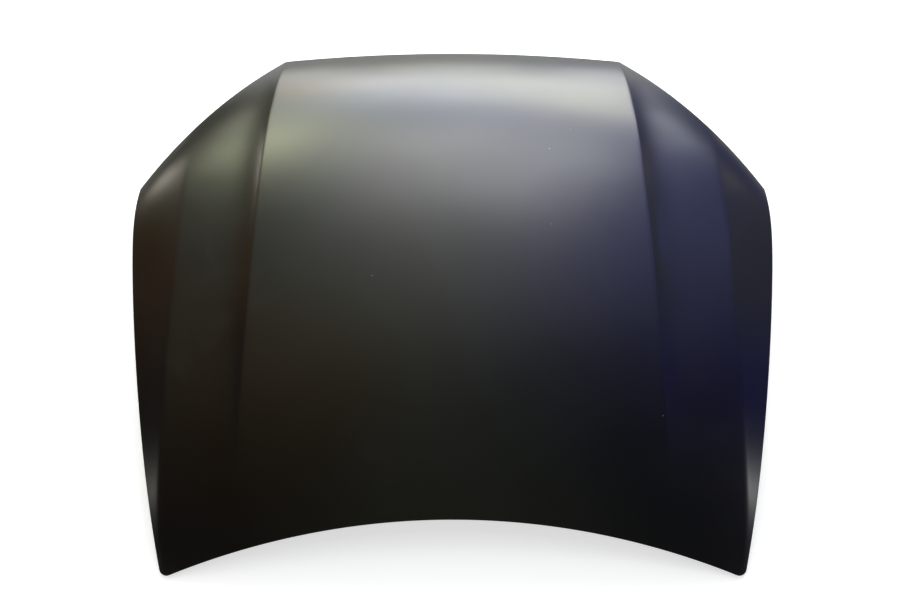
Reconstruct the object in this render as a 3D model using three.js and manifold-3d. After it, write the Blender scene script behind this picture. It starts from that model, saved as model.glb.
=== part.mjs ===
// Car bonnet: a folded outer skin clinched round a pressed inner frame, with its reinforcements.
// Millimetres. X runs across the car, Y from the nose (-) to the windscreen (+), Z is up.
// The panel lies outer side up, as it rests on a floor, and is symmetric about X = 0.

import * as THREE from 'three';
import Module from 'manifold-3d';
import { mergeVertices } from 'three/addons/utils/BufferGeometryUtils.js';

const wasm = await Module();
wasm.setup();

// Plan outline
const HALF_WIDTH = 700;
const NOSE_Y = -600;
const NOSE_BOW = 17;
const GRILLE_CORNER = new THREE.Vector2(361, NOSE_Y + NOSE_BOW);
const HEADLIGHT_PULL = new THREE.Vector2(531, -490);
const SIDE_CORNER_Y = -310;
const REAR_CORNER_Y = 599;
const REAR_MIDDLE_Y = 415;
const REAR_SWEEP = 3.96e-4;
const SIDE_FLARE = 21;
const SIDE_FLARE_REACH = 68;
const SIDE_TAPER = 21;
const SIDE_TAPER_POWER = 1.75;
const REAR_CORNER_RADIUS = 15;
const REAR_CORNER_STEPS = 3;

// Fold lines that run back from the grille corners and from the headlight edges
const FOLD_START_X = 384;
const FOLD_SPREAD = 0.105;
const FOLD_FLARE = 23;
const FOLD_FLARE_REACH = 99;
const FOLD_RUNS_ON = 60;
const OUTER_FOLD_START = new THREE.Vector2(559, -447);
const OUTER_FOLD_SPREAD = 0.128;
const OUTER_FOLD_HOOK = 24;
const OUTER_FOLD_LENGTH = 1041;
const OUTER_FOLD_POWER = 8;
const OUTER_FOLD_RUNS_ON = 200;
const FOLD_END_TURNS = 20;

// Crown of the outer surface
const TOP_Y = -3;
const LENGTH_RADIUS = 1750;
const NOSE_ROLL = 50;
const NOSE_ROLL_REACH = 62;
const CROWN = 1.25e-4;
const NOSE_CROWN = 2.4e-4;
const NOSE_CROWN_REACH = 110;
const STEP_DROP = 11;
const STEP_REACH = 25;
const STEP_GROWS_OVER = 190;
const STEP_FADES_FROM = -150;
const STEP_FADES_OVER = 560;
const HEADLIGHT_ROLL = 14;
const HEADLIGHT_ROLL_REACH = 40;
const HEADLIGHT_ROLL_START = 20;
const ROLL_SOFTNESS = 5;
const ROLL_SLOPE = 0.24;
const ROLL_EASE_FRONT = 0.12;
const ROLL_EASE_REAR = 0.08;
const ROLL_EASE_FROM = 300;
const ROLL_EASE_FRONT_Y = -100;

// Sheet metal and the clinched hem
const SKIN = 0.8;
const FRAME = 0.7;
const GAP = 0.3;
const FLANGE_TOP = SKIN + GAP;
const FLANGE_UNDER = FLANGE_TOP + FRAME;
const RETURN_TOP = FLANGE_UNDER + GAP;
const HEM_THICKNESS = RETURN_TOP + SKIN;
const HEM_ROUND = 0.9;
const HEM_SLACK = 0.4;
const HEM_INSIDE = SKIN + HEM_SLACK;
const FLANGE_END = HEM_INSIDE + HEM_SLACK;
const HEM_RETURN = 10;
const HEM_WIDTH = 12.5;

// Depths of the inner frame below the outer surface
const LAND = 4;
const RIB = 20;
const RIM = 14;
const WINDOW_RADIUS = 30;
const WINDOW_RADIUS_SHARE = 0.4;
const CUTTER_DEPTH = 400;
const CUTTER_LOW = -300;
const HOLE_CUTTER_LENGTH = 12;
const HOLE_SIDES = 12;
const BOLT_HOLE_SIDES = 14;
const MERGE_TOLERANCE = 0.05;
const WELD_TOLERANCE = 1e-4;
const SLOPE_PROBE = 0.5;

// Lines across one half: shares of the way to the fold, then distances from the fold and the side
const CROWN_LINES = [
  [0, LAND], [0.115, LAND], [0.235, LAND], [0.27, LAND], [0.305, RIB], [0.40, RIB], [0.435, LAND],
  [0.47, LAND], [0.665, LAND], [0.86, LAND], [0.895, LAND], [0.93, RIB], [1, RIB],
];
const FOLD_LINES = [[30, RIB], [46, LAND], [62, LAND]];
const SHARES_BETWEEN = [1 / 3, 2 / 3];
const SIDE_LINES = [[116, LAND], [102, LAND], [88, RIM], [57, RIM], [28, RIM], [0, RIM]];

// Lines along the panel: distances from the nose, shares of the length, distances from the rear
const NOSE_LINES = [[0, RIM], [44, 13], [80, 18], [118, 22], [134, LAND], [150, LAND]];
const MIDDLE_LINES = [
  [0.26, LAND], [0.35, LAND], [0.44, LAND], [0.455, LAND], [0.47, RIB], [0.52, RIB],
  [0.535, LAND], [0.55, LAND], [0.67, LAND], [0.81, LAND],
];
const REAR_LINES = [[120, LAND], [104, LAND], [90, RIM], [60, RIM], [30, RIM], [0, RIM]];

// Places on the grid of lines: columns count from the middle, rows from the nose
const RIB_COLUMNS = [2, 7];
const OUTER_RIB_COLUMNS = [9, 15];
const SIDE_WINDOW_COLUMN = 18;
const FRONT_WINDOW_ROWS = [5, 8];
const REAR_WINDOW_ROWS = [13, 16];
const HINGE_PAD = { columns: [20, 22], rows: [15, 19], centre: [21, 16], depth: 17 };
const STRIKER_PAD = { columns: [-1, 1], rows: [1, 3], centre: [0, 2], depth: 18 };

// Fittings
const HINGE_PLATE = { width: 50, length: 88, thickness: 2, corner: 9 };
const HINGE_BOLT_SPACING = 56;
const HINGE_HOLE = 5.5;
const NUT = { acrossFlats: 15, height: 7, bore: 3.4 };
const STRIKER_PLATE = { width: 74, length: 54, thickness: 2.5, corner: 8 };
const STRIKER = { wire: 4, halfSpan: 20, drop: 40, foot: 13, bend: 9, steps: 46 };
const LATCH_PLATE = { thickness: 1.2, columns: 4 };
const PALM_PLATE = { top: 2.2, under: 2.8, columns: 7 };
const MASTIC = { halfLength: 13, share: 0.42, sides: 12 };

// Round holes in the frame, each half way between two places of the grid, in both halves
const DRAIN = 8;
const TOOLING = 12;
const FRAME_HOLES = [
  { from: [8, 1], to: [8, 3], radius: DRAIN },
  { from: [16, 1], to: [16, 3], radius: DRAIN },
  { from: [20, 6], to: [22, 6], radius: DRAIN },
  { from: [20, 13], to: [22, 13], radius: TOOLING },
  { from: [8, 10], to: [8, 11], radius: TOOLING },
  { from: [4, 18], to: [5, 20], radius: TOOLING },
  { from: [9, 18], to: [9, 20], radius: DRAIN },
  { from: [12, 6], to: [12, 7], radius: DRAIN },
  { from: [4, 13], to: [5, 14], radius: DRAIN },
];

const BLACK_PRIMER = { color: 0x1c1c1d, roughness: 0.42, metalness: 0.0 };
const INNER_PRIMER = { color: 0x202021, roughness: 0.5, metalness: 0.0 };
const MASTIC_GREY = { color: 0x55565a, roughness: 0.85, metalness: 0.0 };

const lerp = THREE.MathUtils.lerp;

function smoothRamp(distance, length) {
  return THREE.MathUtils.smoothstep(distance / length, 0, 1);
}

// Outline and fold lines, for the half with X > 0

function sideX(y) {
  const share = (y - SIDE_CORNER_Y) / (REAR_CORNER_Y - SIDE_CORNER_Y);
  const flare = SIDE_FLARE * Math.exp((SIDE_CORNER_Y - y) / SIDE_FLARE_REACH);
  return HALF_WIDTH - flare - SIDE_TAPER * Math.max(share, 0) ** SIDE_TAPER_POWER;
}

function rearY(x) {
  return REAR_MIDDLE_Y + REAR_SWEEP * x * x;
}

function foldX(y) {
  const run = y - GRILLE_CORNER.y;
  const flare = FOLD_FLARE * Math.exp(-Math.max(run, -FOLD_RUNS_ON) / FOLD_FLARE_REACH);
  return FOLD_START_X + FOLD_SPREAD * run - flare;
}

function outerFoldX(y) {
  const run = Math.max(y - OUTER_FOLD_START.y, -OUTER_FOLD_RUNS_ON);
  const hook = OUTER_FOLD_HOOK * (Math.max(run, 0) / OUTER_FOLD_LENGTH) ** OUTER_FOLD_POWER;
  return OUTER_FOLD_START.x + OUTER_FOLD_SPREAD * run - hook;
}

function foldEndY() {
  let y = REAR_MIDDLE_Y;
  for (let turn = 0; turn < FOLD_END_TURNS; turn += 1) {
    y = rearY(foldX(y));
  }
  return y;
}

const FOLD_END_Y = foldEndY();
const FOLD_END = new THREE.Vector2(foldX(FOLD_END_Y), FOLD_END_Y);
const SIDE_CORNER = new THREE.Vector2(sideX(SIDE_CORNER_Y), SIDE_CORNER_Y);
const REAR_CORNER = new THREE.Vector2(sideX(REAR_CORNER_Y), rearY(sideX(REAR_CORNER_Y)));

// Y of the headlight edge at a distance from the middle, carried on past its ends
function headlightY(half) {
  const bend = GRILLE_CORNER.x - 2 * HEADLIGHT_PULL.x + SIDE_CORNER.x;
  const pull = HEADLIGHT_PULL.x - GRILLE_CORNER.x;
  const root = Math.sqrt(pull * pull - bend * (GRILLE_CORNER.x - half));
  const share = (root - pull) / bend;
  const straight = (1 - share) ** 2 * GRILLE_CORNER.y + share ** 2 * SIDE_CORNER.y;
  return straight + 2 * share * (1 - share) * HEADLIGHT_PULL.y;
}

// Height of the outer surface: a long crown, a roll at the nose, a step outside each fold line
// with a roll along the headlight edge, and a roll-down outside each outer fold line.
function height(x, y) {
  const half = Math.abs(x);
  const fromNose = y - NOSE_Y;
  const lengthDrop = (y - TOP_Y) ** 2 / (2 * LENGTH_RADIUS);
  const noseDrop = NOSE_ROLL * Math.exp(-fromNose / NOSE_ROLL_REACH);
  const crown = CROWN + (NOSE_CROWN - CROWN) * Math.exp(-fromNose / NOSE_CROWN_REACH);
  const grows = smoothRamp(fromNose, STEP_GROWS_OVER);
  const stays = 1 - smoothRamp(y - STEP_FADES_FROM, STEP_FADES_OVER);
  const outside = Math.max(half - foldX(y), 0);
  const step = STEP_DROP * grows * stays * (1 - Math.exp(-outside / STEP_REACH));
  const fromHeadlight = Math.exp((headlightY(half) - y) / HEADLIGHT_ROLL_REACH);
  const headlightDrop = HEADLIGHT_ROLL * fromHeadlight * (1 - Math.exp(-outside / HEADLIGHT_ROLL_START));
  const pastOuterFold = ROLL_SOFTNESS * Math.log1p(Math.exp((half - outerFoldX(y)) / ROLL_SOFTNESS));
  const slope = ROLL_SLOPE - ROLL_EASE_FRONT * smoothRamp(ROLL_EASE_FRONT_Y - y, ROLL_EASE_FROM)
    - ROLL_EASE_REAR * smoothRamp(y - ROLL_EASE_FROM, ROLL_EASE_FROM);
  const drops = lengthDrop + noseDrop + crown * half * half + step + headlightDrop;
  return -drops - slope * pastOuterFold;
}

function surfaceNormal(x, y) {
  const reach = SLOPE_PROBE;
  const slopeX = (height(x + reach, y) - height(x - reach, y)) / (2 * reach);
  const slopeY = (height(x, y + reach) - height(x, y - reach)) / (2 * reach);
  return new THREE.Vector3(-slopeX, -slopeY, 1).normalize();
}

// The grid of lines in plan: two four-sided patches per half, whose borders are the real edges

function blendPatch(across, along, left, right, front, rear) {
  const point = new THREE.Vector2().lerpVectors(left(along), right(along), across);
  const frontShift = front(across).sub(new THREE.Vector2().lerpVectors(left(0), right(0), across));
  const rearShift = rear(across).sub(new THREE.Vector2().lerpVectors(left(1), right(1), across));
  return point.addScaledVector(frontShift, 1 - along).addScaledVector(rearShift, along);
}

function middleLine(along) {
  return new THREE.Vector2(0, lerp(NOSE_Y, REAR_MIDDLE_Y, along));
}

function foldLine(along) {
  const y = lerp(GRILLE_CORNER.y, FOLD_END.y, along);
  return new THREE.Vector2(foldX(y), y);
}

function sideLine(along) {
  const y = lerp(SIDE_CORNER.y, REAR_CORNER.y, along);
  return new THREE.Vector2(sideX(y), y);
}

function noseEdge(across) {
  return new THREE.Vector2(GRILLE_CORNER.x * across, NOSE_Y + NOSE_BOW * across * across);
}

function headlightEdge(across) {
  const curve = new THREE.QuadraticBezierCurve(GRILLE_CORNER, HEADLIGHT_PULL, SIDE_CORNER);
  return curve.getPoint(across);
}

function rearEdge(x) {
  return new THREE.Vector2(x, rearY(x));
}

function crownPoint(across, along) {
  const rear = (share) => rearEdge(FOLD_END.x * share);
  return blendPatch(across, along, middleLine, foldLine, noseEdge, rear);
}

function shoulderPoint(across, along) {
  const rear = (share) => rearEdge(lerp(FOLD_END.x, REAR_CORNER.x, share));
  return blendPatch(across, along, foldLine, sideLine, headlightEdge, rear);
}

function shoulderWidth(along) {
  return foldLine(along).distanceTo(sideLine(along));
}

// One column per line across the half, each a function of the share of the way along the panel
function makeColumns() {
  const columns = [];
  for (const [share, depth] of CROWN_LINES) {
    columns.push({ depth, at: (along) => crownPoint(share, along) });
  }
  for (const [distance, depth] of FOLD_LINES) {
    columns.push({ depth, at: (along) => shoulderPoint(distance / shoulderWidth(along), along) });
  }
  const lastFold = FOLD_LINES[FOLD_LINES.length - 1][0];
  const firstSide = SIDE_LINES[0][0];
  for (const share of SHARES_BETWEEN) {
    const distance = (width) => lerp(lastFold, width - firstSide, share);
    const at = (along) => shoulderPoint(distance(shoulderWidth(along)) / shoulderWidth(along), along);
    columns.push({ depth: LAND, at });
  }
  for (const [distance, depth] of SIDE_LINES) {
    columns.push({ depth, at: (along) => shoulderPoint(1 - distance / shoulderWidth(along), along) });
  }
  return columns;
}

// One row per line along the panel, each with its share of the way for a column of a given length
function makeRows() {
  const rows = [];
  for (const [distance, depth] of NOSE_LINES) {
    rows.push({ depth, along: (length) => distance / length });
  }
  for (const [share, depth] of MIDDLE_LINES) {
    rows.push({ depth, along: () => share });
  }
  for (const [distance, depth] of REAR_LINES) {
    rows.push({ depth, along: (length) => 1 - distance / length });
  }
  return rows;
}

const COLUMNS = makeColumns();
const ROWS = makeRows();
const LAST_COLUMN = COLUMNS.length - 1;
const LAST_ROW = ROWS.length - 1;

// A place on the grid in plan; columns below zero are the mirrored half
function outlinePoint(column, row) {
  const line = COLUMNS[Math.abs(column)];
  const length = line.at(0).distanceTo(line.at(1));
  const point = line.at(ROWS[row].along(length));
  return new THREE.Vector2(Math.sign(column) * point.x, point.y);
}

// Stations round the edge, anticlockwise from above, each with its plan point and outward normal.
// The rear corners take a few stations each, along their arcs, on one place of the grid.

function outwardNormal(before, after) {
  const direction = new THREE.Vector2().subVectors(after, before).normalize();
  return new THREE.Vector2(direction.y, -direction.x);
}

function borderPlaces() {
  const places = [];
  for (let column = -LAST_COLUMN; column < LAST_COLUMN; column += 1) {
    places.push([column, 0]);
  }
  for (let row = 0; row < LAST_ROW; row += 1) {
    places.push([LAST_COLUMN, row]);
  }
  for (let column = LAST_COLUMN; column > -LAST_COLUMN; column -= 1) {
    places.push([column, LAST_ROW]);
  }
  for (let row = LAST_ROW; row > 0; row -= 1) {
    places.push([-LAST_COLUMN, row]);
  }
  return places;
}

function cornerStations(place, before, corner, after) {
  const firstNormal = outwardNormal(before, corner);
  const lastNormal = outwardNormal(corner, after);
  const turn = Math.acos(firstNormal.dot(lastNormal));
  const bisector = firstNormal.clone().add(lastNormal).normalize();
  const centre = corner.clone().addScaledVector(bisector, -REAR_CORNER_RADIUS / Math.cos(turn / 2));
  const gridPoint = centre.clone().addScaledVector(bisector, REAR_CORNER_RADIUS);
  const stations = [];
  for (let step = 0; step <= REAR_CORNER_STEPS; step += 1) {
    const angle = turn * step / REAR_CORNER_STEPS;
    const normal = firstNormal.clone().rotateAround(new THREE.Vector2(), angle);
    const point = centre.clone().addScaledVector(normal, REAR_CORNER_RADIUS);
    stations.push({ place, point, normal, gridNormal: bisector, gridPoint });
  }
  return stations;
}

function makeStations() {
  const places = borderPlaces();
  const points = places.map(([column, row]) => outlinePoint(column, row));
  const stations = [];
  places.forEach((place, index) => {
    const before = points[(index + points.length - 1) % points.length];
    const after = points[(index + 1) % points.length];
    const isRearCorner = Math.abs(place[0]) === LAST_COLUMN && place[1] === LAST_ROW;
    if (isRearCorner) {
      stations.push(...cornerStations(place, before, points[index], after));
      return;
    }
    const normal = outwardNormal(before, after);
    stations.push({ place, point: points[index], normal, gridNormal: normal, gridPoint: points[index] });
  });
  return stations;
}

const STATIONS = makeStations();

function placeKey(column, row) {
  return `${column},${row}`;
}

const EDGE_STATION = new Map(STATIONS.map((station) => [placeKey(...station.place), station]));

// A place of the grid in space, at a depth below the outer surface. The edge lines are drawn in
// by the width of the hem, which the stations fill.
function gridPoint(column, row, depth) {
  const station = EDGE_STATION.get(placeKey(column, row));
  const plan = station
    ? station.gridPoint.clone().addScaledVector(station.gridNormal, -HEM_WIDTH)
    : outlinePoint(column, row);
  const point = new THREE.Vector3(plan.x, plan.y, height(plan.x, plan.y));
  return point.addScaledVector(surfaceNormal(plan.x, plan.y), -depth);
}

// A point of the hem, straight in section from the grid's edge line out to the outline
function hemPoint(station, inset, depth) {
  const inner = station.gridPoint.clone().addScaledVector(station.gridNormal, -HEM_WIDTH);
  const outer = station.point;
  const share = inset / HEM_WIDTH;
  const plan = outer.clone().lerp(inner, share);
  const z = lerp(height(outer.x, outer.y), height(inner.x, inner.y), share);
  const normal = surfaceNormal(inner.x, inner.y);
  return new THREE.Vector3(plan.x, plan.y, z).addScaledVector(normal, -depth);
}

// A closed mesh in the making
class Shell {
  constructor() {
    this.positions = [];
    this.faces = [];
  }

  vertex(point) {
    this.positions.push(point.x, point.y, point.z);
    return this.positions.length / 3 - 1;
  }

  face(a, b, c) {
    if (a !== b && b !== c && c !== a) {
      this.faces.push(a, b, c);
    }
  }

  // a to c is the diagonal
  quad(a, b, c, d) {
    this.face(a, b, c);
    this.face(a, c, d);
  }

  geometry() {
    const geometry = new THREE.BufferGeometry();
    geometry.setAttribute('position', new THREE.Float32BufferAttribute(this.positions, 3));
    geometry.setIndex(this.faces);
    return geometry;
  }
}

// Vertices at a range of grid places, from a function of the place
function layGrid(shell, columns, rows, pointAt) {
  const grid = new Map();
  for (let column = columns[0]; column <= columns[1]; column += 1) {
    for (let row = rows[0]; row <= rows[1]; row += 1) {
      grid.set(placeKey(column, row), shell.vertex(pointAt(column, row)));
    }
  }
  return grid;
}

function forEachCell(columns, rows, visit) {
  for (let column = columns[0]; column < columns[1]; column += 1) {
    for (let row = rows[0]; row < rows[1]; row += 1) {
      visit(column, row);
    }
  }
}

// The two faces of a grid; the diagonals are mirrored about the middle line
function faceGrid(shell, grid, columns, rows, facesUp) {
  forEachCell(columns, rows, (column, row) => {
    const near = grid.get(placeKey(column, row));
    const nearRight = grid.get(placeKey(column + 1, row));
    const farRight = grid.get(placeKey(column + 1, row + 1));
    const far = grid.get(placeKey(column, row + 1));
    const ring = column < 0 ? [nearRight, farRight, far, near] : [near, nearRight, farRight, far];
    if (facesUp) {
      shell.quad(...ring);
    } else {
      shell.quad(ring[0], ring[3], ring[2], ring[1]);
    }
  });
}

// A band of faces between two loops of vertices, the first nearer the start of the hem's section.
// The diagonals run the same way in every layer of the hem, and are mirrored about the middle line.
function faceBand(shell, first, second, isOutward) {
  first.forEach((start, index) => {
    const next = (index + 1) % first.length;
    const isRight = shell.positions[3 * start] + shell.positions[3 * first[next]] > 0;
    if (isOutward === isRight) {
      shell.quad(start, second[index], second[next], first[next]);
    } else {
      shell.quad(second[index], second[next], first[next], start);
    }
  });
}

// A sheet over the whole grid whose edge follows a section given as [inset, depth] corners
function sheetWithHem(topAt, underAt, section) {
  const shell = new Shell();
  const columns = [-LAST_COLUMN, LAST_COLUMN];
  const rows = [0, LAST_ROW];
  const top = layGrid(shell, columns, rows, topAt);
  const under = layGrid(shell, columns, rows, underAt);
  faceGrid(shell, top, columns, rows, true);
  faceGrid(shell, under, columns, rows, false);
  const topLoop = STATIONS.map((station) => top.get(placeKey(...station.place)));
  const underLoop = STATIONS.map((station) => under.get(placeKey(...station.place)));
  let previous = topLoop;
  let previousInset = HEM_WIDTH;
  for (const [inset, depth] of section) {
    const loop = STATIONS.map((station) => shell.vertex(hemPoint(station, inset, depth)));
    faceBand(shell, previous, loop, inset <= previousInset);
    previous = loop;
    previousInset = inset;
  }
  faceBand(shell, previous, underLoop, false);
  return shell.geometry();
}

function outerSkin() {
  const section = [
    [HEM_ROUND, 0],
    [0, HEM_ROUND],
    [0, HEM_THICKNESS - HEM_ROUND],
    [HEM_ROUND, HEM_THICKNESS],
    [HEM_RETURN, HEM_THICKNESS],
    [HEM_RETURN, RETURN_TOP],
    [HEM_INSIDE, RETURN_TOP],
    [HEM_INSIDE, SKIN],
  ];
  const topAt = (column, row) => gridPoint(column, row, 0);
  const underAt = (column, row) => gridPoint(column, row, SKIN);
  return sheetWithHem(topAt, underAt, section);
}

// Flat pads, where the hinges and the striker are fixed

function padFrame(pad, side) {
  const [column, row] = pad.centre;
  const middle = gridPoint(side * column, row, pad.depth);
  const plan = outlinePoint(side * column, row);
  const normal = surfaceNormal(plan.x, plan.y);
  const before = gridPoint(side * column, row - 1, pad.depth);
  const along = gridPoint(side * column, row + 1, pad.depth).sub(before);
  along.addScaledVector(normal, -along.dot(normal)).normalize();
  const across = new THREE.Vector3().crossVectors(along, normal);
  const matrix = new THREE.Matrix4().makeBasis(across, along, normal).setPosition(middle);
  return { middle, normal, matrix };
}

const PADS = [
  { ...STRIKER_PAD, frame: padFrame(STRIKER_PAD, 1), side: 0 },
  { ...HINGE_PAD, frame: padFrame(HINGE_PAD, 1), side: 1 },
  { ...HINGE_PAD, frame: padFrame(HINGE_PAD, -1), side: -1 },
];

function isWithin(value, range) {
  return value >= range[0] && value <= range[1];
}

function padAt(column, row) {
  return PADS.find((pad) => {
    const padColumn = pad.side ? pad.side * column : column;
    return isWithin(row, pad.rows) && isWithin(padColumn, pad.columns);
  });
}

function frameDepth(column, row) {
  if (EDGE_STATION.has(placeKey(column, row))) {
    return FLANGE_TOP;
  }
  return Math.max(COLUMNS[Math.abs(column)].depth, ROWS[row].depth);
}

function frameTop(column, row) {
  const point = gridPoint(column, row, frameDepth(column, row));
  const pad = padAt(column, row);
  if (pad) {
    const { middle, normal } = pad.frame;
    const offPlane = new THREE.Vector3().subVectors(point, middle).dot(normal);
    point.z -= offPlane / normal.z;
  }
  return point;
}

// The frame's own normal at a place, scaled so that an offset by it keeps the sheet's thickness
function frameOffset(column, row) {
  const pad = padAt(column, row);
  if (pad) {
    return pad.frame.normal.clone();
  }
  const here = frameTop(column, row);
  const around = [[1, 0], [0, 1], [-1, 0], [0, -1]].map(([right, far]) => {
    const isOnGrid = Math.abs(column + right) <= LAST_COLUMN && isWithin(row + far, [0, LAST_ROW]);
    return isOnGrid ? frameTop(column + right, row + far).sub(here) : null;
  });
  const normals = [];
  around.forEach((neighbour, index) => {
    const next = around[(index + 1) % around.length];
    if (neighbour && next) {
      normals.push(new THREE.Vector3().crossVectors(neighbour, next).normalize());
    }
  });
  const mean = normals.reduce((sum, normal) => sum.add(normal), new THREE.Vector3()).normalize();
  const share = normals.reduce((sum, normal) => sum + normal.dot(mean), 0) / normals.length;
  return mean.divideScalar(share);
}

function frameUnder(column, row) {
  if (EDGE_STATION.has(placeKey(column, row))) {
    return gridPoint(column, row, FLANGE_UNDER);
  }
  return frameTop(column, row).addScaledVector(frameOffset(column, row), -FRAME);
}

// Solids for cutting

function toSolid(geometry) {
  const bare = geometry.clone();
  bare.deleteAttribute('normal');
  bare.deleteAttribute('uv');
  const merged = mergeVertices(bare, WELD_TOLERANCE);
  const mesh = new wasm.Mesh({
    numProp: 3,
    vertProperties: new Float32Array(merged.attributes.position.array),
    triVerts: new Uint32Array(merged.index.array),
  });
  return new wasm.Manifold(mesh);
}

function toGeometry(solid) {
  const mesh = solid.getMesh();
  const geometry = new THREE.BufferGeometry();
  geometry.setAttribute('position', new THREE.BufferAttribute(mesh.vertProperties, 3));
  geometry.setIndex(new THREE.BufferAttribute(mesh.triVerts, 1));
  return geometry;
}

// A shape with straight sides and rounded corners
function roundedShape(corners, radius) {
  const shape = new THREE.Shape();
  corners.forEach((corner, index) => {
    const before = corners[(index + corners.length - 1) % corners.length];
    const after = corners[(index + 1) % corners.length];
    const start = corner.clone().add(before.clone().sub(corner).setLength(radius));
    const end = corner.clone().add(after.clone().sub(corner).setLength(radius));
    if (index === 0) {
      shape.moveTo(start.x, start.y);
    } else {
      shape.lineTo(start.x, start.y);
    }
    shape.quadraticCurveTo(corner.x, corner.y, end.x, end.y);
  });
  shape.closePath();
  return shape;
}

function plateShape(width, length, radius) {
  const corners = [[-1, -1], [1, -1], [1, 1], [-1, 1]];
  return roundedShape(corners.map(([x, y]) => new THREE.Vector2(x * width / 2, y * length / 2)), radius);
}

function windowCutter(columns, rows) {
  const [left, right] = columns;
  const [near, far] = rows;
  const places = [[left, near], [right, near], [right, far], [left, far]];
  const corners = places.map(([column, row]) => outlinePoint(column, row));
  const sides = corners.map((corner, index) => corner.distanceTo(corners[(index + 1) % corners.length]));
  const radius = Math.min(WINDOW_RADIUS, WINDOW_RADIUS_SHARE * Math.min(...sides));
  const shape = roundedShape(corners, radius);
  const settings = { depth: CUTTER_DEPTH, bevelEnabled: false, curveSegments: 3 };
  return new THREE.ExtrudeGeometry(shape, settings).translate(0, 0, CUTTER_LOW);
}

function windowCutters() {
  const cutters = [];
  for (const rows of [FRONT_WINDOW_ROWS, REAR_WINDOW_ROWS]) {
    cutters.push(windowCutter([-RIB_COLUMNS[0], RIB_COLUMNS[0]], rows));
    for (const side of [-1, 1]) {
      const inner = [side * RIB_COLUMNS[1], side * OUTER_RIB_COLUMNS[0]].sort((a, b) => a - b);
      const outer = [side * OUTER_RIB_COLUMNS[1], side * SIDE_WINDOW_COLUMN].sort((a, b) => a - b);
      cutters.push(windowCutter(inner, rows), windowCutter(outer, rows));
    }
  }
  return cutters;
}

// A round cutter through the frame, square to it, half way between two places of the grid
function holeCutter(placeA, placeB, radius) {
  const middle = frameTop(...placeA).lerp(frameTop(...placeB), 0.5);
  const normal = surfaceNormal(middle.x, middle.y);
  const geometry = new THREE.CylinderGeometry(radius, radius, HOLE_CUTTER_LENGTH, HOLE_SIDES);
  geometry.applyQuaternion(new THREE.Quaternion().setFromUnitVectors(new THREE.Vector3(0, 1, 0), normal));
  return geometry.translate(middle.x, middle.y, middle.z);
}

function frameHoleCutters() {
  const mirrored = ([column, row], side) => [side * column, row];
  return [-1, 1].flatMap((side) => FRAME_HOLES.map(({ from, to, radius }) => (
    holeCutter(mirrored(from, side), mirrored(to, side), radius))));
}

function hingeHoleCutters(radius) {
  const cutters = [];
  for (const pad of PADS.filter(({ side }) => side)) {
    for (const end of [-1, 1]) {
      const geometry = new THREE.CylinderGeometry(radius, radius, HOLE_CUTTER_LENGTH, BOLT_HOLE_SIDES);
      geometry.rotateX(Math.PI / 2);
      geometry.translate(0, end * HINGE_BOLT_SPACING / 2, 0);
      cutters.push(geometry.applyMatrix4(pad.frame.matrix));
    }
  }
  return cutters;
}

function innerFrame() {
  const section = [[FLANGE_END, FLANGE_TOP], [FLANGE_END, FLANGE_UNDER]];
  let solid = toSolid(sheetWithHem(frameTop, frameUnder, section));
  for (const cutter of [...windowCutters(), ...frameHoleCutters(), ...hingeHoleCutters(HINGE_HOLE)]) {
    solid = solid.subtract(toSolid(cutter));
  }
  return toGeometry(solid.simplify(MERGE_TOLERANCE));
}

// A plate that follows a range of the grid between two layers
function layeredPlate(columns, rows, topAt, underAt) {
  const shell = new Shell();
  const top = layGrid(shell, columns, rows, topAt);
  const under = layGrid(shell, columns, rows, underAt);
  faceGrid(shell, top, columns, rows, true);
  faceGrid(shell, under, columns, rows, false);
  const rim = [];
  for (let column = columns[0]; column < columns[1]; column += 1) {
    rim.push(placeKey(column, rows[0]));
  }
  for (let row = rows[0]; row < rows[1]; row += 1) {
    rim.push(placeKey(columns[1], row));
  }
  for (let column = columns[1]; column > columns[0]; column -= 1) {
    rim.push(placeKey(column, rows[1]));
  }
  for (let row = rows[1]; row > rows[0]; row -= 1) {
    rim.push(placeKey(columns[0], row));
  }
  faceBand(shell, rim.map((key) => top.get(key)), rim.map((key) => under.get(key)), true);
  return shell.geometry();
}

function latchReinforcement() {
  const columns = [-LATCH_PLATE.columns, LATCH_PLATE.columns];
  const above = (lift) => (column, row) => (
    frameTop(column, row).addScaledVector(frameOffset(column, row), lift));
  return layeredPlate(columns, STRIKER_PAD.rows, above(GAP + LATCH_PLATE.thickness), above(GAP));
}

function palmReinforcement() {
  const at = (depth) => (column, row) => gridPoint(column, row, depth);
  const columns = [-PALM_PLATE.columns, PALM_PLATE.columns];
  return layeredPlate(columns, STRIKER_PAD.rows, at(PALM_PLATE.top), at(PALM_PLATE.under));
}

function hingePlate() {
  const shape = plateShape(HINGE_PLATE.width, HINGE_PLATE.length, HINGE_PLATE.corner);
  for (const end of [-1, 1]) {
    const hole = new THREE.Path();
    hole.absarc(0, end * HINGE_BOLT_SPACING / 2, HINGE_HOLE, 0, 2 * Math.PI, true);
    shape.holes.push(hole);
  }
  const settings = { depth: HINGE_PLATE.thickness, bevelEnabled: false, curveSegments: 5 };
  return new THREE.ExtrudeGeometry(shape, settings).translate(0, 0, GAP);
}

function weldNut() {
  const radius = NUT.acrossFlats / 2 / Math.cos(Math.PI / 6);
  const corners = [];
  for (let corner = 0; corner < 6; corner += 1) {
    const angle = corner * Math.PI / 3;
    corners.push(new THREE.Vector2(radius * Math.cos(angle), radius * Math.sin(angle)));
  }
  const shape = new THREE.Shape(corners);
  const bore = new THREE.Path();
  bore.absarc(0, 0, NUT.bore, 0, 2 * Math.PI, true);
  shape.holes.push(bore);
  return new THREE.ExtrudeGeometry(shape, { depth: NUT.height, bevelEnabled: false, curveSegments: 6 });
}

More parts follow.
